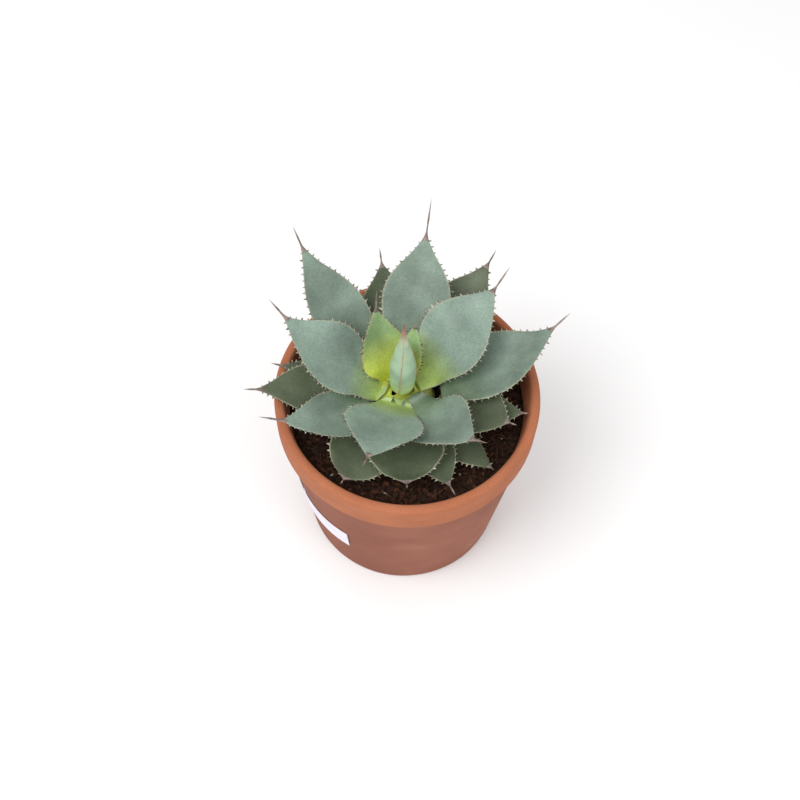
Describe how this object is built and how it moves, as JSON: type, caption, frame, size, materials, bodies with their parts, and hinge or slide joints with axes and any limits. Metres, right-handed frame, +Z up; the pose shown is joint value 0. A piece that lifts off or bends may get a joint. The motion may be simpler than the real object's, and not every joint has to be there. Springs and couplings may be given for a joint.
{
  "type": "potted agave",
  "caption": "Agave rosette with toothed, spine-tipped grey-green leaves growing in a round terracotta pot with a rim band and a blank label.",
  "frame": {"origin": "middle of the footprint of the bounding box, on the surface the pot stands on", "axes": "+Z up along the pot's axis, +Y towards the back of the plant, +X to the right as seen from the front; the pot's axis stands 1.4 mm right of the origin and 9.6 mm in front of it"},
  "size_m": [0.2024, 0.1892, 0.2171],
  "materials": {
    "terracotta": "matt, dry, with a chalky bloom",
    "soil": "matt, moist, fibrous",
    "crown": "satin",
    "young_leaf": "satin, waxy, yellow-green at the base",
    "leaf": "satin, waxy blue-grey bloom",
    "old_leaf": "satin, darker olive green",
    "label": "matt paper, blank"
  },
  "bodies": {
    "root": {"terracotta_pot": "terracotta", "potting_soil": "soil", "stem_crown": "crown", "central_bud": "young_leaf", "leaf_01": "young_leaf", "leaf_02": "young_leaf", "leaf_03": "leaf", "leaf_04": "leaf", "leaf_05": "leaf", "leaf_06": "leaf", "leaf_07": "leaf", "leaf_08": "leaf", "leaf_09": "leaf", "leaf_10": "leaf", "leaf_11": "old_leaf", "leaf_12": "old_leaf", "leaf_13": "old_leaf", "leaf_14": "old_leaf", "leaf_15": "old_leaf", "leaf_16": "old_leaf", "leaf_17": "old_leaf", "leaf_18": "old_leaf", "leaf_19": "old_leaf", "leaf_20": "old_leaf", "leaf_21": "old_leaf", "leaf_22": "old_leaf", "leaf_23": "old_leaf", "leaf_24": "old_leaf", "paper_label": "label"}
  },
  "joints": []
}
